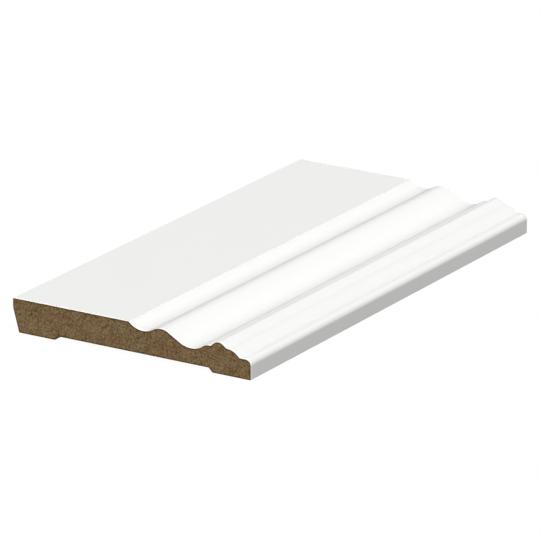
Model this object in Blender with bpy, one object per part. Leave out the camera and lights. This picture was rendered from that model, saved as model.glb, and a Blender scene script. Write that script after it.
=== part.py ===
"""Skirting board: a length of moulded board with a relieved back, lying on its back.

X runs up the board as it is fixed to a wall, from the floor edge to the moulded edge.
Y runs along the board, and Z out of its face. All sizes are in metres. The origin is
the middle of the rectangle that the board covers on the surface under it.
"""

import math

import bpy

# The board as a whole.
BOARD_LENGTH = 0.280
BOARD_HEIGHT = 0.143
BOARD_THICKNESS = 0.018

# The floor edge, square at the face and then bevelled away from the wall.
FLOOR_EDGE_SQUARE = 0.0047
BACK_BEVEL_ANGLE = math.radians(15)

# The back, with a shallow relief between two flat lands.
LOWER_LAND = 0.0220
UPPER_LAND = 0.0225
RELIEF_DEPTH = 0.00225
RELIEF_WALL_ANGLE = math.radians(45)

# The moulding's members, from the plain face up to the moulded edge. A run is measured
# up the board, and a depth straight down from the plain face.
COVE_RUN = 0.00875
COVE_DEPTH = 0.0035

BEAD_RUN = 0.01035
BEAD_DEPTH = 0.00055
BEAD_FOOT_RADIUS = 0.0110
BEAD_CREST_RADIUS = 0.0084

OGEE_RUN = 0.0183
OGEE_DEPTH = 0.00745
OGEE_CREST_RADIUS = 0.0098
OGEE_HOLLOW_RADIUS = 0.0141

HOLLOW_RUN = 0.0070
HOLLOW_END_DEPTH = 0.00515

ASTRAGAL_RUN = 0.0035
ASTRAGAL_DEPTH = 0.00405
FILLET_RUN = 0.0010

TORUS_RISE_RUN = 0.0048
TORUS_DEPTH = 0.0014
TORUS_RADIUS = 0.0043
TORUS_FALL_RUN = 0.0046
TORUS_END_DEPTH = 0.0038

OVOLO_RUN = 0.00765
OVOLO_DEPTH = 0.00745

NOSE_FLAT_RUN = 0.00345
NOSE_RADIUS = 0.0032

MOULDING_RUN = (
    COVE_RUN + BEAD_RUN + OGEE_RUN + HOLLOW_RUN
    + ASTRAGAL_RUN + FILLET_RUN
    + TORUS_RISE_RUN + TORUS_FALL_RUN
    + OVOLO_RUN + NOSE_FLAT_RUN + NOSE_RADIUS
)

# Straight steps that stand for each arc of the outline.
ARC_STEPS = 12

PRIMER_WHITE = (0.86, 0.86, 0.84, 1.0)
PRIMER_ROUGHNESS = 0.55


def clear_scene():
    for thing in list(bpy.data.objects):
        bpy.data.objects.remove(thing, do_unlink=True)


def primed_board_material():
    """White factory primer on fibreboard."""
    material = bpy.data.materials.new("white_primer")
    material.use_nodes = True
    shader = material.node_tree.nodes["Principled BSDF"]
    shader.inputs["Base Color"].default_value = PRIMER_WHITE
    shader.inputs["Roughness"].default_value = PRIMER_ROUGHNESS
    shader.inputs["Metallic"].default_value = 0.0
    return material


def one_arc_radius(run, rise):
    """Radius of the arc that covers run and rise by itself and is level at one end."""
    return (run * run + rise * rise) / (2 * rise)


def slope_into_arc(run, rise, radius):
    """Slope and length of a straight that meets an arc, which then ends level.

    The straight and the arc together cover run and rise.
    """
    drop_of_centre = radius - rise
    reach = math.hypot(run, drop_of_centre)
    slope = math.asin(min(1.0, radius / reach)) - math.atan2(drop_of_centre, run)
    length = (run - radius * math.sin(slope)) / math.cos(slope)
    return slope, length


def add_straight(points, slope, length):
    x, z = points[-1]
    points.append((x + length * math.cos(slope), z + length * math.sin(slope)))


def add_arc(points, slope, new_slope, radius):
    """Turns the outline from one slope to another. A slope that climbs is positive."""
    x, z = points[-1]
    bend = math.copysign(radius, new_slope - slope)
    centre_x = x - bend * math.sin(slope)
    centre_z = z + bend * math.cos(slope)
    for step in range(1, ARC_STEPS + 1):
        here = slope + (new_slope - slope) * step / ARC_STEPS
        points.append((centre_x + bend * math.sin(here), centre_z - bend * math.cos(here)))


def level_out(points, run, rise, radius=math.inf):
    """From a corner: a straight, if the radius leaves room for one, and an arc to level."""
    side = math.copysign(1, rise)
    fitted = min(radius, one_arc_radius(run, abs(rise)))
    slope, length = slope_into_arc(run, abs(rise), fitted)
    if fitted == radius:
        add_straight(points, side * slope, length)
    add_arc(points, side * slope, 0, fitted)


def leave_level(points, run, rise, radius=math.inf):
    """From level: an arc, and a straight to a corner if the radius leaves room for one."""
    side = math.copysign(1, rise)
    fitted = min(radius, one_arc_radius(run, abs(rise)))
    slope, length = slope_into_arc(run, abs(rise), fitted)
    add_arc(points, 0, side * slope, fitted)
    if fitted == radius:
        add_straight(points, side * slope, length)


def add_ogee(points, run, rise, first_radius, last_radius):
    """Level at both ends: an arc, a straight, and an arc that bends the other way."""
    side = math.copysign(1, rise)
    both = first_radius + last_radius
    fitted = min(both, one_arc_radius(run, abs(rise)))
    slope, length = slope_into_arc(run, abs(rise), fitted)
    add_arc(points, 0, side * slope, first_radius * fitted / both)
    if fitted == both:
        add_straight(points, side * slope, length)
    add_arc(points, side * slope, 0, last_radius * fitted / both)


def moulded_face():
    """The front of the section, from the floor edge to the foot of the nose."""
    points = [(0, BOARD_THICKNESS), (BOARD_HEIGHT - MOULDING_RUN, BOARD_THICKNESS)]
    level_out(points, COVE_RUN, -COVE_DEPTH)
    add_ogee(points, BEAD_RUN, COVE_DEPTH - BEAD_DEPTH, BEAD_FOOT_RADIUS, BEAD_CREST_RADIUS)
    add_ogee(points, OGEE_RUN, BEAD_DEPTH - OGEE_DEPTH, OGEE_CREST_RADIUS, OGEE_HOLLOW_RADIUS)
    leave_level(points, HOLLOW_RUN, OGEE_DEPTH - HOLLOW_END_DEPTH)
    level_out(points, ASTRAGAL_RUN, HOLLOW_END_DEPTH - ASTRAGAL_DEPTH)
    add_straight(points, 0, FILLET_RUN)
    level_out(points, TORUS_RISE_RUN, ASTRAGAL_DEPTH - TORUS_DEPTH, TORUS_RADIUS)
    leave_level(points, TORUS_FALL_RUN, TORUS_DEPTH - TORUS_END_DEPTH, TORUS_RADIUS)
    leave_level(points, OVOLO_RUN, TORUS_END_DEPTH - OVOLO_DEPTH)
    add_straight(points, 0, NOSE_FLAT_RUN)
    add_arc(points, 0, math.radians(-90), NOSE_RADIUS)
    return points


def relieved_back():
    """The back of the section, from the moulded edge to the square of the floor edge."""
    bevel_height = BOARD_THICKNESS - FLOOR_EDGE_SQUARE
    bevel_foot = bevel_height * math.tan(BACK_BEVEL_ANGLE)
    wall_run = RELIEF_DEPTH / math.tan(RELIEF_WALL_ANGLE)
    relief_start = bevel_foot + LOWER_LAND
    relief_end = BOARD_HEIGHT - UPPER_LAND
    return [
        (BOARD_HEIGHT, 0),
        (relief_end, 0),
        (relief_end - wall_run, RELIEF_DEPTH),
        (relief_start + wall_run, RELIEF_DEPTH),
        (relief_start, 0),
        (bevel_foot, 0),
        (0, bevel_height),
    ]


def add_board(collection):
    """The section as a flat outline, drawn out to the board's length along Y."""
    outline = moulded_face() + relieved_back()
    section = bpy.data.curves.new("skirting_board", "CURVE")
    section.dimensions = "2D"
    section.fill_mode = "BOTH"
    section.extrude = BOARD_LENGTH / 2
    spline = section.splines.new("POLY")
    spline.points.add(len(outline) - 1)
    for point, (x, z) in zip(spline.points, outline):
        point.co = (x - BOARD_HEIGHT / 2, z, 0, 1)
    spline.use_cyclic_u = True
    section.materials.append(primed_board_material())
    board = bpy.data.objects.new("skirting_board", section)
    board.rotation_euler = (math.radians(90), 0, 0)
    collection.objects.link(board)


def main():
    clear_scene()
    collection = bpy.data.collections.new("Skirting board")
    bpy.context.scene.collection.children.link(collection)
    add_board(collection)


main()
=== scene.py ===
"""Looks of a primed skirting board: a white coat on a fibreboard core, seen as a cut sample."""

import logging
import math
from dataclasses import dataclass, field
from enum import Enum

import bmesh
import bpy
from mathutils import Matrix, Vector

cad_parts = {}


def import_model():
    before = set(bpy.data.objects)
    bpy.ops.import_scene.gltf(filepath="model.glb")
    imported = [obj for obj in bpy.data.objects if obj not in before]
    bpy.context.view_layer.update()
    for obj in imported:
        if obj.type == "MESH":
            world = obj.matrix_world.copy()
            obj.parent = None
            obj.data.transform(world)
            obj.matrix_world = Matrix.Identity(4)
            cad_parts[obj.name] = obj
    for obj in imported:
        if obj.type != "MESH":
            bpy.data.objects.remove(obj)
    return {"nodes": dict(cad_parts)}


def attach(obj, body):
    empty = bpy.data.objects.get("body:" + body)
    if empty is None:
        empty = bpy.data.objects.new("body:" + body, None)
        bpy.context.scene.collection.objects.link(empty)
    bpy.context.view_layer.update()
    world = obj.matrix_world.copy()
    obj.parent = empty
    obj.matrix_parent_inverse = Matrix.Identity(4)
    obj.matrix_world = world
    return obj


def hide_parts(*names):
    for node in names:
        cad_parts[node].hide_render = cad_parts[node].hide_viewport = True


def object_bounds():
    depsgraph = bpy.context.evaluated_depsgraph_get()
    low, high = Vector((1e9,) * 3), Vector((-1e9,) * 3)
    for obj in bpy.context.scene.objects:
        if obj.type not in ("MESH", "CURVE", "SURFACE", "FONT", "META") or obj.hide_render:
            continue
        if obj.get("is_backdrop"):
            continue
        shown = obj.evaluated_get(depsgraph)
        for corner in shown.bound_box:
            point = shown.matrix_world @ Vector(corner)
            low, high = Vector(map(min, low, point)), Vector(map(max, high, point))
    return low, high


Span = tuple[float, float]
Triple = tuple[float, float, float]
Colour = tuple[float, float, float, float]

LOG = logging.getLogger("skirting_board")
WHITE: Colour = (1, 1, 1, 1)
MM = 0.001

# The average of a noise, and of a tone made of noises.
MIDDLE = 0.5


class Skin(Enum):
    """What a face of the board shows; the value is its material slot on the mesh."""

    PRIMER = 0
    CUT_CORE = 1
    MILLED_BACK = 2


class Wiring:
    """Adds shader nodes to one node tree and links them."""

    def __init__(self, tree: bpy.types.NodeTree) -> None:
        """Works on the node tree of a material, a world or a node group."""
        self.tree = tree

    def add(self, kind: str, **settings: object) -> bpy.types.Node:
        """Adds a node.

        Args:
            kind: the node's Blender type name.
            settings: properties of the node, by name.

        Returns:
            The new node.
        """
        node = self.tree.nodes.new(kind)
        for name, value in settings.items():
            setattr(node, name, value)
        return node

    def feed(self, socket: bpy.types.NodeSocket, value: object) -> None:
        """Sets a socket to a plain value, or links it if the value is a socket.

        Args:
            socket: the input socket.
            value: a number, a colour or the output socket of another node.
        """
        if isinstance(value, bpy.types.NodeSocket):
            self.tree.links.new(value, socket)
        else:
            socket.default_value = value

    def axis(self, vector: object, name: str) -> bpy.types.NodeSocket:
        """Takes one axis of some coordinates.

        Args:
            vector: the coordinates.
            name: X, Y or Z.

        Returns:
            The socket of that axis.
        """
        split = self.add("ShaderNodeSeparateXYZ")
        self.feed(split.inputs[0], vector)
        return split.outputs[name]

    def attribute(self, name: str) -> bpy.types.NodeSocket:
        """Reads the number that the mesh carries under a name."""
        return self.add("ShaderNodeAttribute", attribute_name=name).outputs["Fac"]

    def maths(self, operation: str, *values: object) -> bpy.types.NodeSocket:
        """Adds a Math node.

        Args:
            operation: the operation's name, such as MULTIPLY.
            values: its inputs, each a number or a socket.

        Returns:
            The result's socket.
        """
        node = self.add("ShaderNodeMath", operation=operation)
        for socket, value in zip(node.inputs, values):
            self.feed(socket, value)
        return node.outputs[0]

    def mean(self, first: object, second: object) -> bpy.types.NodeSocket:
        """The mean of two values."""
        return self.maths("MULTIPLY_ADD", first, 0.5, self.maths("MULTIPLY", second, 0.5))

    def swung(self, value: object, middle: float, gain: object, onto: object) -> bpy.types.NodeSocket:
        """Adds how far a value is from its middle, times a gain, onto another value."""
        return self.maths("MULTIPLY_ADD", self.maths("SUBTRACT", value, middle), gain, onto)

    def stretched(self, vector: object, cells: Triple, turn: Triple) -> bpy.types.NodeSocket:
        """Changes coordinates so that a pattern is turned and drawn out along its own axes.

        Args:
            vector: the coordinates.
            cells: the pattern's cells per metre along each of its own axes.
            turn: the turn of those axes about X, Y and Z, in degrees.

        Returns:
            The new coordinates' socket.
        """
        node = self.add("ShaderNodeMapping", vector_type="TEXTURE")
        self.feed(node.inputs["Vector"], vector)
        node.inputs["Scale"].default_value = [1 / count for count in cells]
        node.inputs["Rotation"].default_value = [math.radians(angle) for angle in turn]
        return node.outputs["Vector"]

    def noise(self, vector: object, scale: float = 1, detail: float = 2,
              roughness: float = 0.5) -> bpy.types.NodeSocket:
        """Adds a noise texture.

        Args:
            vector: the coordinates.
            scale: cells per unit of the coordinates.
            detail: how many finer layers are added.
            roughness: the share of each finer layer.

        Returns:
            The socket of its value, which is MIDDLE on average.
        """
        node = self.add("ShaderNodeTexNoise", noise_dimensions="3D")
        self.feed(node.inputs["Vector"], vector)
        node.inputs["Scale"].default_value = scale
        node.inputs["Detail"].default_value = detail
        node.inputs["Roughness"].default_value = roughness
        return node.outputs[0]

    def between(self, value: object, low: float, high: float, to_low: float = 0,
                to_high: float = 1) -> bpy.types.NodeSocket:
        """Maps a value smoothly from one range to another and holds it there.

        Args:
            value: the number or socket to map.
            low: where the range starts.
            high: where the range ends.
            to_low: the result at low.
            to_high: the result at high.

        Returns:
            The result's socket.
        """
        node = self.add("ShaderNodeMapRange", interpolation_type="SMOOTHSTEP")
        for socket, number in zip(node.inputs, (value, low, high, to_low, to_high)):
            self.feed(socket, number)
        return node.outputs[0]

    def mixed(self, share: object, first: object, second: object,
              blend: str = "MIX") -> bpy.types.NodeSocket:
        """Mixes two colours.

        Args:
            share: how much of the second colour.
            first: the first colour, as numbers or a socket.
            second: the second colour.
            blend: the name of the way they mix.

        Returns:
            The mixed colour's socket.
        """
        node = self.add("ShaderNodeMix", data_type="RGBA", blend_type=blend)
        self.feed(node.inputs["Factor"], share)
        self.feed(node.inputs["A"], first)
        self.feed(node.inputs["B"], second)
        return node.outputs["Result"]


@dataclass(frozen=True)
class Lay:
    """Noise that lies in a direction, as fibres and tool marks do.

    cells are counted per metre along the noise's own axes, so that it is drawn out along
    the axis with the fewest, and turn is the turn of those axes in degrees.
    """

    cells: Triple
    turn: Triple = (0, 0, 0)
    detail: float = 1
    roughness: float = 0.5

    def noise(self, wiring: Wiring, place: object) -> bpy.types.NodeSocket:
        """Adds the noise at some coordinates."""
        drawn_out = wiring.stretched(place, self.cells, self.turn)
        return wiring.noise(drawn_out, detail=self.detail, roughness=self.roughness)


@dataclass(frozen=True)
class Specks:
    """Small round specks, scattered with at most one in each cell.

    cells are counted per metre, empty is the share of them without a speck, and radius is
    a share of a cell.
    """

    cells: float
    empty: float
    radius: float

    def mask(self, wiring: Wiring, place: object) -> bpy.types.NodeSocket:
        """Scatters the specks.

        Args:
            wiring: the tree to wire them in.
            place: the coordinates.

        Returns:
            The socket of a mask, 1 in the middle of a speck and 0 outside it.
        """
        cell = wiring.add("ShaderNodeTexVoronoi", feature="F1")
        wiring.feed(cell.inputs["Vector"], place)
        cell.inputs["Scale"].default_value = self.cells
        inside = wiring.between(cell.outputs["Distance"], self.radius / 2, self.radius, 1, 0)
        luck = wiring.add("ShaderNodeSeparateColor")
        wiring.feed(luck.inputs[0], cell.outputs["Color"])
        chosen = wiring.maths("GREATER_THAN", luck.outputs[0], self.empty)
        return wiring.maths("MULTIPLY", inside, chosen)


@dataclass(frozen=True)
class SurfaceEffect:
    """A shader effect that several finishes share, kept as one node group."""

    name: str
    inputs: tuple[tuple[str, str, float], ...]
    outputs: tuple[tuple[str, str], ...]

    def wire(self, wiring: Wiring, source: bpy.types.Node, result: bpy.types.Node) -> None:
        """Fills the group between its input and output nodes."""
        raise NotImplementedError

    def group(self) -> bpy.types.NodeTree:
        """Builds the node group once.

        Returns:
            The group, the same one each time.
        """
        found = bpy.data.node_groups.get(self.name)
        if found:
            return found
        tree = bpy.data.node_groups.new(self.name, "ShaderNodeTree")
        for name, kind, value in self.inputs:
            socket = tree.interface.new_socket(name, in_out="INPUT", socket_type=kind)
            if kind == "NodeSocketFloat":
                socket.default_value = value
        for name, kind in self.outputs:
            tree.interface.new_socket(name, in_out="OUTPUT", socket_type=kind)
        wiring = Wiring(tree)
        self.wire(wiring, wiring.add("NodeGroupInput"), wiring.add("NodeGroupOutput"))
        return tree

    def place(self, wiring: Wiring, **values: object) -> bpy.types.Node:
        """Places the group in a material.

        Args:
            wiring: the material's tree.
            values: its inputs by name, with _ for a space.

        Returns:
            The group's node.
        """
        node = wiring.add("ShaderNodeGroup", node_tree=self.group())
        for name, value in values.items():
            wiring.feed(node.inputs[name.replace("_", " ")], value)
        return node


@dataclass(frozen=True)
class PressedFibre(SurfaceEffect):
    """Pressed wood fibre: fine grain, short strands, and dark and pale specks.

    The first set of strands lies flat in the board and the others lean, so a cut end shows
    level dashes among slanting ones. Cells are counted per metre.
    """

    name: str = "Pressed fibre"
    inputs: tuple[tuple[str, str, float], ...] = (
        ("Vector", "NodeSocketVector", 0),
        ("Grain", "NodeSocketFloat", 1),
        ("Strands", "NodeSocketFloat", 1),
        ("Specks", "NodeSocketFloat", 1),
    )
    outputs: tuple[tuple[str, str], ...] = (
        ("Tone", "NodeSocketFloat"),
        ("Hue", "NodeSocketFloat"),
        ("Speck", "NodeSocketFloat"),
        ("Height", "NodeSocketFloat"),
    )
    grain: Lay = Lay((1900, 1200, 600), (0, -36, 0), detail=2, roughness=0.6)
    grain_gain: float = 3.0
    strands: tuple[Lay, ...] = (
        Lay((620, 620, 2300)),
        Lay((2000, 600, 600), (0, -30, 0)),
        Lay((1900, 600, 600), (0, -52, 0)),
    )
    strand_range: Span = (0.50, 0.76)
    strand_middle: float = 0.37
    strand_gain: float = 0.55
    strand_height: float = 0.6
    cloud_cells: float = 190
    cloud_gain: float = 0.7
    dark_specks: Specks = Specks(cells=400, empty=0.83, radius=0.27)
    pale_specks: Specks = Specks(cells=560, empty=0.80, radius=0.22)
    pale_gain: float = 0.9
    broad_hue_cells: float = 420
    fine_hue_cells: float = 1700
    fine_hue_gain: float = 0.9
    hue_range: Span = (0.70, 1.20)

    def wire(self, wiring: Wiring, source: bpy.types.Node, result: bpy.types.Node) -> None:
        """Builds the tone, the hue, the dark specks and the height.

        Args:
            wiring: the group's tree.
            source: the group's input node.
            result: the group's output node.
        """
        place = source.outputs["Vector"]
        grain = self.grain.noise(wiring, place)
        strand = self.crossed_strands(wiring, place)
        cloud = wiring.noise(place, scale=self.cloud_cells)
        pale = wiring.maths("MULTIPLY", self.pale_specks.mask(wiring, place), source.outputs["Specks"])
        grain_gain = wiring.maths("MULTIPLY", source.outputs["Grain"], self.grain_gain)
        strand_gain = wiring.maths("MULTIPLY", source.outputs["Strands"], self.strand_gain)
        tone = wiring.swung(grain, MIDDLE, grain_gain, MIDDLE)
        tone = wiring.swung(strand, self.strand_middle, strand_gain, tone)
        tone = wiring.swung(cloud, MIDDLE, self.cloud_gain, tone)
        tone = wiring.maths("MULTIPLY_ADD", pale, self.pale_gain, tone)
        wiring.feed(result.inputs["Tone"], tone)
        fine_hue = wiring.noise(place, scale=self.fine_hue_cells, detail=1)
        hue = wiring.maths("ADD", wiring.noise(place, scale=self.broad_hue_cells),
                           wiring.maths("MULTIPLY", fine_hue, self.fine_hue_gain))
        wiring.feed(result.inputs["Hue"], wiring.between(hue, *self.hue_range))
        dark = self.dark_specks.mask(wiring, place)
        wiring.feed(result.inputs["Speck"], wiring.maths("MULTIPLY", dark, source.outputs["Specks"]))
        height = wiring.maths("MULTIPLY_ADD", strand, self.strand_height, grain)
        wiring.feed(result.inputs["Height"], wiring.maths("SUBTRACT", height, dark))

    def crossed_strands(self, wiring: Wiring, place: object) -> bpy.types.NodeSocket:
        """Lays the sets of strands over one another.

        Args:
            wiring: the group's tree.
            place: the coordinates.

        Returns:
            The socket of a mask, 1 along the middle of a strand.
        """
        crossed = self.strands[0].noise(wiring, place)
        for strands in self.strands[1:]:
            crossed = wiring.maths("MAXIMUM", crossed, strands.noise(wiring, place))
        return wiring.between(crossed, *self.strand_range)


@dataclass(frozen=True)
class FeedMarks(SurfaceEffect):
    """Faint marks of a board that is fed lengthwise through a moulder or a sander.

    Knife turn is how fast the wave of the knife marks turns, in radians per metre.
    """

    name: str = "Feed marks"
    inputs: tuple[tuple[str, str, float], ...] = (
        ("Vector", "NodeSocketVector", 0),
        ("Knife turn", "NodeSocketFloat", 1),
    )
    outputs: tuple[tuple[str, str], ...] = (
        ("Streaks", "NodeSocketFloat"),
        ("Knife marks", "NodeSocketFloat"),
    )
    broad_streaks: Lay = Lay((420, 5, 420), detail=2)
    fine_streaks: Lay = Lay((2600, 24, 2600))
    wander_cells: float = 30
    wander: float = 6

    def wire(self, wiring: Wiring, source: bpy.types.Node, result: bpy.types.Node) -> None:
        """Builds lengthwise streaks, and shallow marks across the board where the knives cut.

        Args:
            wiring: the group's tree.
            source: the group's input node.
            result: the group's output node.
        """
        place = source.outputs["Vector"]
        fine = self.fine_streaks.noise(wiring, place)
        broad = self.broad_streaks.noise(wiring, place)
        wiring.feed(result.inputs["Streaks"], wiring.mean(fine, broad))
        wander = wiring.noise(place, scale=self.wander_cells, detail=1)
        turned = wiring.maths("MULTIPLY_ADD", wiring.axis(place, "Y"), source.outputs["Knife turn"],
                              wiring.maths("MULTIPLY", wander, self.wander))
        wave = wiring.maths("SINE", turned)
        wiring.feed(result.inputs["Knife marks"], wiring.maths("MULTIPLY_ADD", wave, 0.5, 0.5))


@dataclass(frozen=True)
class Finish:
    """A finish of the board, which dresses one slot of its mesh."""

    name: str

    def start(self) -> tuple[bpy.types.Material, Wiring, bpy.types.Node, bpy.types.NodeSocket]:
        """Makes the material.

        Returns:
            The material, its wiring, its shader and the piece's own coordinates.
        """
        material = bpy.data.materials.new(self.name)
        material.use_nodes = True
        wiring = Wiring(material.node_tree)
        shader = material.node_tree.nodes["Principled BSDF"]
        place = wiring.add("ShaderNodeTexCoord").outputs["Object"]
        return material, wiring, shader, place

    def relief(self, wiring: Wiring, shader: bpy.types.Node, height: object, depth: float) -> None:
        """Feeds a height to the shader's normal.

        Args:
            wiring: the material's tree.
            shader: the shader.
            height: the height, from 0 to about 1.
            depth: how deep a height of 1 is, in metres.
        """
        bump = wiring.add("ShaderNodeBump")
        bump.inputs["Strength"].default_value = 1
        bump.inputs["Distance"].default_value = depth
        wiring.feed(bump.inputs["Height"], height)
        wiring.feed(shader.inputs["Normal"], bump.outputs["Normal"])


@dataclass(frozen=True)
class WhitePrimer(Finish):
    """Factory primer: satin white, with a faint spray texture and lengthwise streaks.

    The coat is painted slightly darker on slopes and in hollows, as painted shade. On the
    near end's chamfers it is painted whiter, as a painted highlight, and at the fresh cut
    it has a hairline where the saw broke it off the fibre. The chip sizes are shares of
    chip_reach, and the cells are counted per metre.
    """

    name: str = "white primer"
    white: Colour = (0.810, 0.810, 0.797, 1)
    warm_white: Colour = (0.804, 0.802, 0.785, 1)
    # Painted shade: the coat's colour where it is darkened on slopes and in hollows.
    shade_white: Colour = (0.757, 0.757, 0.749, 1)
    # Painted highlight: the coat's colour on the near end's chamfers.
    highlight_white: Colour = (0.93, 0.93, 0.925, 1)
    bare_fibre: Colour = (0.27, 0.17, 0.08, 1)
    tint_range: Span = (0.44, 0.62)
    mottle_cells: float = 38
    chip_reach: float = 0.13 * MM
    chip_cells: float = 1300
    chip_swing: float = 0.8
    chip_edge: Span = (1.8, 1.2)
    roughness: float = 0.50
    roughness_swing: float = 0.10
    peel_cells: float = 750
    peel_roughness: float = 0.4
    streak_height: float = 0.35
    orange_peel_depth: float = 0.004 * MM

    def material(self, marks: FeedMarks, half_length: float) -> bpy.types.Material:
        """Builds the material.

        Args:
            marks: the feed marks under the coat.
            half_length: half the board's length, where the saw broke the coat.

        Returns:
            The material.
        """
        material, wiring, shader, place = self.start()
        streaks = marks.place(wiring, Vector=place).outputs["Streaks"]
        mottle = wiring.noise(place, scale=self.mottle_cells, detail=3)
        tint = wiring.between(wiring.mean(streaks, mottle), *self.tint_range)
        colour = wiring.mixed(tint, self.white, self.warm_white)
        # Painted shade on slopes and in hollows, as a number that the mesh carries.
        shade = wiring.attribute(MouldedBoard.SLOPE_SHADE)
        colour = wiring.mixed(shade, colour, self.shade_white)
        # Painted highlight: a whiter coat on the near end's chamfers, as a number the mesh carries.
        highlight = wiring.attribute(MouldedBoard.PAINTED_HIGHLIGHT)
        colour = wiring.mixed(highlight, colour, self.highlight_white)
        colour = wiring.mixed(self.chips(wiring, place, half_length), colour, self.bare_fibre)
        wiring.feed(shader.inputs["Base Color"], colour)
        both = wiring.maths("ADD", streaks, mottle)
        wiring.feed(shader.inputs["Roughness"],
                    wiring.swung(both, 2 * MIDDLE, self.roughness_swing, self.roughness))
        peel = wiring.noise(place, scale=self.peel_cells, detail=1, roughness=self.peel_roughness)
        height = wiring.maths("MULTIPLY_ADD", streaks, self.streak_height, peel)
        self.relief(wiring, shader, height, self.orange_peel_depth)
        return material

    def chips(self, wiring: Wiring, place: object, half_length: float) -> bpy.types.NodeSocket:
        """A ragged hairline beside the fresh cut where the saw broke the coat off the fibre.

        Args:
            wiring: the material's tree.
            place: the piece's own coordinates.
            half_length: half the board's length.

        Returns:
            The socket of a mask, 1 where the fibre is bare.
        """
        towards_cut = wiring.maths("MULTIPLY", wiring.axis(place, "Y"), -1.0)
        noise = wiring.noise(place, scale=self.chip_cells, detail=1)
        ragged = wiring.maths("MULTIPLY_ADD", noise, self.chip_reach * self.chip_swing, towards_cut)
        whole, bare = (half_length - self.chip_reach * share for share in self.chip_edge)
        return wiring.between(ragged, whole, bare)


@dataclass(frozen=True)
class BareFibre(Finish):
    """Fibreboard without a coat: its colour runs from dark to light fibre, with specks."""

    dark: Colour
    light: Colour
    yellowish: Colour
    greyish: Colour
    speck: Colour
    speck_share: float
    specular: float

    def wood_colour(self, wiring: Wiring, wood: bpy.types.Node) -> bpy.types.NodeSocket:
        """Colours the pressed fibre.

        Args:
            wiring: the material's tree.
            wood: the pressed fibre's group node.

        Returns:
            The colour's socket.
        """
        colour = wiring.mixed(wood.outputs["Tone"], self.dark, self.light)
        tint = wiring.mixed(wood.outputs["Hue"], self.yellowish, self.greyish)
        colour = wiring.mixed(1.0, colour, tint, "MULTIPLY")
        share = wiring.maths("MULTIPLY", wood.outputs["Speck"], self.speck_share)
        return wiring.mixed(share, colour, self.speck)


@dataclass(frozen=True)
class CutCore(BareFibre):
    """Fibreboard as a saw leaves it: brown, mottled and dull, darker along the cut's edge."""

    name: str = "cut fibreboard"
    dark: Colour = (0.168, 0.088, 0.020, 1)
    light: Colour = (0.474, 0.334, 0.186, 1)
    yellowish: Colour = (1.03, 1.00, 0.85, 1)
    greyish: Colour = (0.96, 1.00, 1.15, 1)
    speck: Colour = (0.115, 0.078, 0.042, 1)
    speck_share: float = 0.95
    specular: float = 0.2
    edge: Colour = (0.62, 0.54, 0.38, 1)
    edge_range: Span = (0.16, 0.66)
    roughness: float = 0.85
    roughness_swing: float = -0.08
    fibre_depth: float = 0.05 * MM

    def material(self, fibre: PressedFibre) -> bpy.types.Material:
        """Builds the material.

        Args:
            fibre: the pressed fibre effect.

        Returns:
            The material.
        """
        material, wiring, shader, place = self.start()
        shader.inputs["Specular IOR Level"].default_value = self.specular
        wood = fibre.place(wiring, Vector=place)
        colour = self.wood_colour(wiring, wood)
        band = wiring.between(wiring.attribute(MouldedBoard.EDGE_BAND), *self.edge_range)
        burnt = wiring.mixed(1.0, colour, self.edge, "MULTIPLY")
        wiring.feed(shader.inputs["Base Color"], wiring.mixed(band, colour, burnt))
        height = wood.outputs["Height"]
        wiring.feed(shader.inputs["Roughness"],
                    wiring.maths("MULTIPLY_ADD", height, self.roughness_swing, self.roughness))
        self.relief(wiring, shader, height, self.fibre_depth)
        return material


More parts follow.
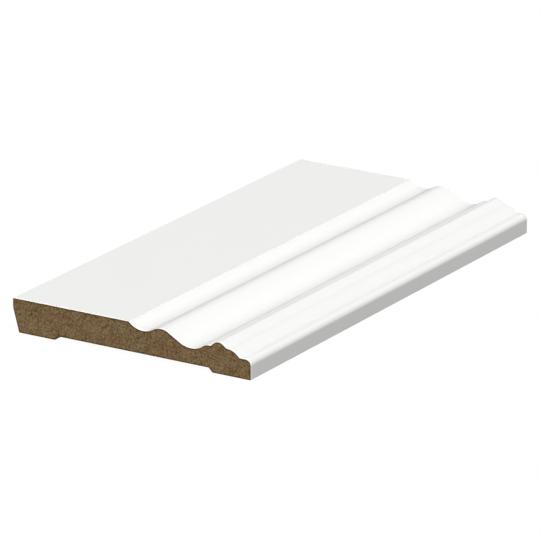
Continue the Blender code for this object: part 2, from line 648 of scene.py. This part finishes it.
@dataclass(frozen=True)
class MilledBack(BareFibre):
    """The bare back: fibreboard planed smooth, with knife marks and a breath of overspray.

    The knife marks are about 1.5 mm apart. The two ends of mist_edge are shares of
    overspray_reach, counted outwards from the long edges.
    """

    name: str = "milled fibreboard"
    dark: Colour = (0.290, 0.190, 0.090, 1)
    light: Colour = (0.450, 0.325, 0.190, 1)
    yellowish: Colour = (0.99, 1.00, 0.92, 1)
    greyish: Colour = (1.01, 1.00, 1.08, 1)
    speck: Colour = (0.14, 0.10, 0.065, 1)
    speck_share: float = 0.7
    specular: float = 0.3
    grain: float = 0.65
    strands: float = 0.6
    specks: float = 0.8
    knife_turn: float = 4200
    streak_range: Span = (0.3, 0.7)
    streak_tone: Span = (0.90, 1.10)
    overspray: Colour = (0.76, 0.75, 0.72, 1)
    overspray_reach: float = 1.6 * MM
    mist_cells: float = 900
    mist_edge: Span = (-0.6, 0.5)
    roughness: float = 0.70
    roughness_swing: float = 0.12
    fibre_height: float = 0.5
    mark_height: float = 0.4
    mark_depth: float = 0.035 * MM

    def material(self, fibre: PressedFibre, marks: FeedMarks, half_width: float) -> bpy.types.Material:
        """Builds the material.

        Args:
            fibre: the pressed fibre effect.
            marks: the feed marks that the knives left.
            half_width: half the board's width, where the overspray starts.

        Returns:
            The material.
        """
        material, wiring, shader, place = self.start()
        shader.inputs["Specular IOR Level"].default_value = self.specular
        wood = fibre.place(wiring, Vector=place, Grain=self.grain, Strands=self.strands,
                           Specks=self.specks)
        feed = marks.place(wiring, Vector=place, Knife_turn=self.knife_turn)
        tone = wiring.between(feed.outputs["Streaks"], *self.streak_range, *self.streak_tone)
        colour = wiring.mixed(1.0, self.wood_colour(wiring, wood), tone, "MULTIPLY")
        colour = wiring.mixed(self.mist(wiring, place, half_width), colour, self.overspray)
        wiring.feed(shader.inputs["Base Color"], colour)
        wiring.feed(shader.inputs["Roughness"],
                    wiring.maths("MULTIPLY_ADD", feed.outputs["Streaks"], self.roughness_swing,
                                 self.roughness))
        knives = wiring.maths("MULTIPLY", feed.outputs["Knife marks"], self.mark_height)
        height = wiring.maths("MULTIPLY_ADD", wood.outputs["Height"], self.fibre_height, knives)
        self.relief(wiring, shader, height, self.mark_depth)
        return material

    def mist(self, wiring: Wiring, place: object, half_width: float) -> bpy.types.NodeSocket:
        """Primer that settled on the back beside the board's two long edges.

        Args:
            wiring: the material's tree.
            place: the piece's own coordinates.
            half_width: half the board's width.

        Returns:
            The socket of a mask, 1 where the primer is whole.
        """
        outwards = wiring.maths("ABSOLUTE", wiring.axis(place, "X"))
        noise = wiring.noise(place, scale=self.mist_cells, detail=3)
        ragged = wiring.maths("MULTIPLY_ADD", noise, self.overspray_reach, outwards)
        bare, whole = (half_width + self.overspray_reach * share for share in self.mist_edge)
        return wiring.between(ragged, bare, whole)


@dataclass
class MouldedBoard:
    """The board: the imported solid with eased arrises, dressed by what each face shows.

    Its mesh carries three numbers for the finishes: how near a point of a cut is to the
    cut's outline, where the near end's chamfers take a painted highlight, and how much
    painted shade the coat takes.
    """

    EDGE_BAND = "edge_band"
    # The number of the painted highlight on the near end's chamfers.
    PAINTED_HIGHLIGHT = "painted_highlight"
    # The number of the painted shade on slopes and in hollows.
    SLOPE_SHADE = "painted_shade"

    node: str = "skirting_board"
    merge_distance: float = 0.001 * MM
    flat_angle: float = math.radians(0.3)

    # Eased edges.
    end_arris_drop: float = 0.03 * MM
    end_arris_run: float = 1.70 * MM
    chamfer_margin: float = 1.5
    edge_band_width: float = 1.20 * MM
    corner_radius: float = 0.15 * MM
    corner_steps: int = 3
    sharp_angle: float = math.radians(14)

    # How far a normal points along the board, at least, on a cut and on a chamfer.
    cut_lean: float = 0.999
    chamfer_lean: float = 0.01

    # How far a normal points up, at most on the bare back and at least on the face.
    back_lean: float = -0.1
    face_lean: float = 0.5

    # Painted shade on slopes and on the floor of a hollow.
    shade_from: float = math.radians(12)
    darkest_at: float = math.radians(26)
    shade_facing_key: float = 0.45
    shade_in_hollow: float = 0.47
    hollow_depth: Span = (1.0 * MM, 3.2 * MM)
    hollow_lean: Span = (math.radians(-8), math.radians(-2))

    # The finished mesh.
    long_edge: float = 17 * MM
    length_cuts: int = 13
    flat_weight: int = 100

    primer: WhitePrimer = field(default_factory=WhitePrimer)
    core: CutCore = field(default_factory=CutCore)
    back: MilledBack = field(default_factory=MilledBack)

    def build(self, nodes: dict[str, bpy.types.Object]) -> bpy.types.Object:
        """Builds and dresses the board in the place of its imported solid.

        Args:
            nodes: the frame's nodes by name.

        Returns:
            The finished piece.
        """
        mesh = bpy.data.meshes.new("primed_board")
        shape = self.merged_copy(nodes[self.node].data)
        self.ease_ends(shape)
        self.mark_edge_bands(shape)
        self.ease_long_corners(shape)
        self.sort_faces(shape)
        self.divide_along(shape)
        shape.to_mesh(mesh)
        shape.free()
        piece = bpy.data.objects.new("primed_board", mesh)
        bpy.context.scene.collection.objects.link(piece)
        self.dress(piece)
        self.keep_flats_flat(piece)
        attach(piece, "root")
        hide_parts(self.node)
        return piece

    def merged_copy(self, packed: bpy.types.Mesh) -> bmesh.types.BMesh:
        """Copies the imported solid, with its loose triangles joined to whole faces.

        Args:
            packed: the solid's mesh.

        Returns:
            The copy.
        """
        shape = bmesh.new()
        shape.from_mesh(packed)
        bmesh.ops.remove_doubles(shape, verts=shape.verts[:], dist=self.merge_distance)
        bmesh.ops.dissolve_limit(shape, angle_limit=self.flat_angle, verts=shape.verts[:],
                                 edges=shape.edges[:])
        return shape

    def ease_ends(self, shape: bmesh.types.BMesh) -> None:
        """Chamfers the cut ends where the coat rolls over them; bare edges stay sharp.

        The bevel makes each chamfer as long as it is deep. Its inner edge, which is found
        within chamfer_margin times the drop, is then moved along the board to its run.

        Args:
            shape: the board.
        """
        shape.normal_update()
        outlines = [edge for edge in shape.edges if self.is_coated_end_edge(edge)]
        bmesh.ops.bevel(shape, geom=outlines, offset=self.end_arris_drop, offset_type="OFFSET",
                        segments=1, profile=0.5, affect="EDGES", clamp_overlap=True, material=-1)
        end = max(vertex.co.y for vertex in shape.verts)
        for vertex in shape.verts:
            depth = end - abs(vertex.co.y)
            if self.merge_distance < depth < self.end_arris_drop * self.chamfer_margin:
                vertex.co.y = math.copysign(end - self.end_arris_run, vertex.co.y)

    def mark_edge_bands(self, shape: bmesh.types.BMesh) -> None:
        """Rings each cut end with a narrow band, marked 1 at its outline and 0 inside.

        Args:
            shape: the board.
        """
        shape.normal_update()
        band = shape.verts.layers.float.new(self.EDGE_BAND)
        for end in [face for face in shape.faces if self.is_cut(face)]:
            for vertex in end.verts:
                vertex[band] = 1
            bmesh.ops.inset_region(shape, faces=[end], thickness=self.edge_band_width,
                                   use_even_offset=True, use_boundary=True)
            for vertex in end.verts:
                vertex[band] = 0

    def ease_long_corners(self, shape: bmesh.types.BMesh) -> None:
        """Rounds the section's corners along the board and across the chamfers, as sanding does.

        Args:
            shape: the board.
        """
        corners = [edge for edge in shape.edges
                   if not self.lies_across(edge) and edge.calc_face_angle() > self.sharp_angle]
        bmesh.ops.bevel(shape, geom=corners, offset=self.corner_radius, offset_type="OFFSET",
                        segments=self.corner_steps, profile=0.5, affect="EDGES",
                        clamp_overlap=True, material=-1)

    def sort_faces(self, shape: bmesh.types.BMesh) -> None:
        """Gives each face the slot of what it shows, and smooths all but the chamfers.

        It marks how much painted shade the coat takes on each face, and marks 1 the
        chamfers of the near end, which take a painted highlight. The outline of each cut is
        kept sharp.

        Args:
            shape: the board.
        """
        shape.normal_update()
        # Painted highlight on the near end's chamfers.
        highlight = shape.faces.layers.float.new(self.PAINTED_HIGHLIGHT)
        # Painted shade on slopes and in hollows.
        shade = shape.faces.layers.float.new(self.SLOPE_SHADE)
        top = max(vertex.co.z for vertex in shape.verts)
        for face in shape.faces:
            face.material_index = self.skin(face).value
            face.smooth = self.is_cut(face) or abs(face.normal.y) < self.chamfer_lean
            near = face.calc_center_median().y < 0
            # Painted highlight: 1 on the near end's flat-shaded chamfers.
            face[highlight] = 1 if near and not face.smooth else 0
            # How much painted shade the coat takes on this face.
            face[shade] = self.shade_share(face, top)
        for edge in shape.edges:
            cuts = [face for face in edge.link_faces if self.is_cut(face)]
            edge.smooth = len(cuts) != 1

    def skin(self, face: bmesh.types.BMFace) -> Skin:
        """What a face shows.

        Args:
            face: a face of the board.

        Returns:
            The finish that the face takes.
        """
        if self.is_cut(face):
            return Skin.CUT_CORE
        if self.faces_back(face):
            return Skin.MILLED_BACK
        return Skin.PRIMER

    def shade_share(self, face: bmesh.types.BMFace, top: float) -> float:
        """How much painted shade the coat takes on a face, from 0 to 1.

        The coat is painted darker on a slope than on the level, darkest on the slopes that
        face away from the moulded edge and its key light, and darker on the floor of a
        hollow, where shade falls.

        Args:
            face: a face of the board.
            top: the height of the plain face.

        Returns:
            1 on the steepest of those slopes and 0 on the plain face, walls and the back.
        """
        if face.normal.z < self.face_lean:
            return 0
        lean = math.atan2(-face.normal.x, face.normal.z)
        steep = ramp(abs(lean), self.shade_from, self.darkest_at)
        steep *= 1 if lean > 0 else self.shade_facing_key
        deep = ramp(top - face.calc_center_median().z, *self.hollow_depth)
        deep *= self.shade_in_hollow * ramp(-lean, *self.hollow_lean)
        return max(steep, deep)

    def divide_along(self, shape: bmesh.types.BMesh) -> None:
        """Cuts the long faces into shorter ones.

        Args:
            shape: the board.
        """
        long_edges = [edge for edge in shape.edges
                      if not self.lies_across(edge) and edge.calc_length() > self.long_edge]
        bmesh.ops.subdivide_edges(shape, edges=long_edges, cuts=self.length_cuts, use_grid_fill=True)

    def is_coated_end_edge(self, edge: bmesh.types.BMEdge) -> bool:
        """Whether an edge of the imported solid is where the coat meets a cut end.

        Args:
            edge: an edge of the solid.

        Returns:
            True where one of its faces is a cut and the other has the coat.
        """
        cuts = [face for face in edge.link_faces if self.is_cut(face)]
        others = [face for face in edge.link_faces if face not in cuts]
        return len(cuts) == 1 and not any(self.faces_back(face) for face in others)

    def is_cut(self, face: bmesh.types.BMFace) -> bool:
        """Whether a face belongs to a cut end."""
        return abs(face.normal.y) > self.cut_lean

    def lies_across(self, edge: bmesh.types.BMEdge) -> bool:
        """Whether an edge lies square across the board, as the outlines of its ends do."""
        return abs(edge.verts[1].co.y - edge.verts[0].co.y) < self.merge_distance

    def faces_back(self, face: bmesh.types.BMFace) -> bool:
        """Whether a face belongs to the bare back, with its relief and its bevel."""
        return face.normal.z < self.back_lean * math.hypot(face.normal.x, face.normal.z)

    def dress(self, piece: bpy.types.Object) -> None:
        """Gives the piece its three finishes, in the order of their slots.

        Args:
            piece: the board's object.
        """
        fibre = PressedFibre()
        marks = FeedMarks()
        half_width = piece.dimensions.x / 2
        half_length = piece.dimensions.y / 2
        piece.data.materials.append(self.primer.material(marks, half_length))
        piece.data.materials.append(self.core.material(fibre))
        piece.data.materials.append(self.back.material(fibre, marks, half_width))

    def keep_flats_flat(self, piece: bpy.types.Object) -> None:
        """Lets the large flat faces set the shading normals of the small ones beside them.

        Args:
            piece: the board's object.
        """
        weigh = piece.modifiers.new("flat faces first", "WEIGHTED_NORMAL")
        weigh.mode = "FACE_AREA"
        weigh.weight = self.flat_weight
        weigh.keep_sharp = True


@dataclass(frozen=True)
class DistantLight:
    """A broad light so far off that it is even over the whole board.

    heading is measured round from -Y towards +X, so 90 is the moulded edge's side, and
    height is the angle above the floor, both in degrees. A light with a height below 0
    shines up through the floor.
    """

    name: str
    heading: float
    height: float
    strength: float
    spread: float = 40
    colour: Triple = (1, 1, 1)

    def build(self) -> None:
        """Builds the light and turns it to shine on the origin."""
        lamp = bpy.data.lights.new(self.name, "SUN")
        lamp.energy = self.strength
        lamp.angle = math.radians(self.spread)
        lamp.color = self.colour
        light = bpy.data.objects.new(self.name, lamp)
        from_light = direction(self.heading, self.height)
        light.rotation_mode = "QUATERNION"
        light.rotation_quaternion = from_light.to_track_quat("Z", "Y")
        light.location = from_light
        bpy.context.scene.collection.objects.link(light)


@dataclass
class Studio:
    """A lit white table, soft light from far off and the photograph's camera."""

    # The table and what is round it.
    floor_size: float = 40
    floor_drop: float = 0.02 * MM
    floor_white: float = 0.03
    floor_glow: float = 0.97
    floor_throw: float = 0.24
    surround: float = 0.02

    lights: tuple[DistantLight, ...] = (
        DistantLight("key light", heading=50, height=62, strength=4.13),
        DistantLight("far light", heading=235, height=-25, strength=2.00),
    )

    # The camera, with its angles in degrees.
    lens: float = 393.02
    sensor: float = 36
    azimuth: float = 31.849
    elevation: float = 18.400
    aim: Triple = (-2.426 * MM, -2.552 * MM, 6.332 * MM)
    distance: float = 3.08849
    nearest: float = 0.05
    farthest: float = 100

    def build(self) -> None:
        """Builds the floor, the lights, the surround and the camera."""
        self.build_floor()
        for light in self.lights:
            light.build()
        self.build_surround()
        self.build_camera()
        bpy.context.scene.view_settings.view_transform = "Standard"

    def build_floor(self) -> None:
        """Builds a wide white floor just under the board, which shows only from above."""
        shape = bmesh.new()
        bmesh.ops.create_grid(shape, x_segments=1, y_segments=1, size=self.floor_size / 2)
        bmesh.ops.translate(shape, verts=shape.verts[:], vec=(0, 0, -self.floor_drop))
        mesh = bpy.data.meshes.new("floor")
        shape.to_mesh(mesh)
        shape.free()
        floor = bpy.data.objects.new("floor", mesh)
        bpy.context.scene.collection.objects.link(floor)
        floor.data.materials.append(self.floor_material())
        floor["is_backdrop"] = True

    def floor_material(self) -> bpy.types.Material:
        """A lit white table: dimmer for what it throws back, and open to light from below.

        Returns:
            The material.
        """
        material = bpy.data.materials.new("white floor")
        material.use_nodes = True
        tree = material.node_tree
        wiring = Wiring(tree)
        seen = tree.nodes["Principled BSDF"]
        seen.inputs["Base Color"].default_value = (self.floor_white,) * 3 + (1,)
        seen.inputs["Roughness"].default_value = 1
        seen.inputs["Specular IOR Level"].default_value = 0
        seen.inputs["Emission Color"].default_value = WHITE
        seen.inputs["Emission Strength"].default_value = self.floor_glow
        thrown = wiring.add("ShaderNodeEmission")
        thrown.inputs["Strength"].default_value = self.floor_throw
        by_eye = wiring.add("ShaderNodeMixShader")
        path = wiring.add("ShaderNodeLightPath")
        wiring.feed(by_eye.inputs[0], path.outputs["Is Camera Ray"])
        wiring.feed(by_eye.inputs[1], thrown.outputs[0])
        wiring.feed(by_eye.inputs[2], seen.outputs[0])
        by_side = wiring.add("ShaderNodeMixShader")
        from_below = wiring.add("ShaderNodeNewGeometry").outputs["Backfacing"]
        open_to = wiring.maths("MAXIMUM", from_below, path.outputs["Is Shadow Ray"])
        wiring.feed(by_side.inputs[0], open_to)
        wiring.feed(by_side.inputs[1], by_eye.outputs[0])
        wiring.feed(by_side.inputs[2], wiring.add("ShaderNodeBsdfTransparent").outputs[0])
        wiring.feed(tree.nodes["Material Output"].inputs["Surface"], by_side.outputs[0])
        return material

    def build_surround(self) -> None:
        """Builds a world that is white to the eye and lights the board only a little."""
        world = bpy.data.worlds.new("white surround")
        world.use_nodes = True
        bpy.context.scene.world = world
        wiring = Wiring(world.node_tree)
        backdrop = world.node_tree.nodes["Background"]
        to_eye = wiring.add("ShaderNodeLightPath").outputs["Is Camera Ray"]
        wiring.feed(backdrop.inputs["Strength"],
                    wiring.maths("MULTIPLY_ADD", to_eye, 1 - self.surround, self.surround))
        backdrop.inputs["Color"].default_value = WHITE

    def build_camera(self) -> None:
        """Builds the photograph's camera: a long lens, level, looking down at the cut end."""
        lens = bpy.data.cameras.new("camera")
        lens.lens = self.lens
        lens.sensor_width = self.sensor
        lens.clip_start = self.nearest
        lens.clip_end = self.farthest
        camera = bpy.data.objects.new("camera", lens)
        back = direction(self.azimuth, self.elevation)
        camera.location = Vector(self.aim) + back * self.distance
        camera.rotation_mode = "QUATERNION"
        camera.rotation_quaternion = back.to_track_quat("Z", "Y")
        bpy.context.scene.collection.objects.link(camera)
        bpy.context.scene.camera = camera


def direction(heading: float, height: float) -> Vector:
    """The direction from the board to a far point.

    Args:
        heading: the angle round from -Y towards +X, in degrees.
        height: the angle above the floor, in degrees.

    Returns:
        The direction, one unit long.
    """
    round_angle, up_angle = math.radians(heading), math.radians(height)
    return Vector((math.sin(round_angle) * math.cos(up_angle),
                   -math.cos(round_angle) * math.cos(up_angle), math.sin(up_angle)))


def ramp(value: float, low: float, high: float) -> float:
    """How far a value is from low to high, held between 0 and 1."""
    return min(1, max(0, (value - low) / (high - low)))


def corners(box: tuple[Vector, Vector]) -> list[list[float]]:
    """A box's lowest and highest corners as plain lists of numbers."""
    return [list(corner) for corner in box]


def main() -> None:
    """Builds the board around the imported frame, then the studio."""
    logging.basicConfig(level=logging.INFO, format="%(message)s")
    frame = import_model()
    packed_box = corners(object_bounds())
    board = MouldedBoard().build(frame["nodes"])
    LOG.info("%s: %d faces", board.name, len(board.data.polygons))
    Studio().build()
    LOG.info("studio: floor, lights and camera")
    {"cad": packed_box, "visual": corners(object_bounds())}


if __name__ == "__main__":
    main()
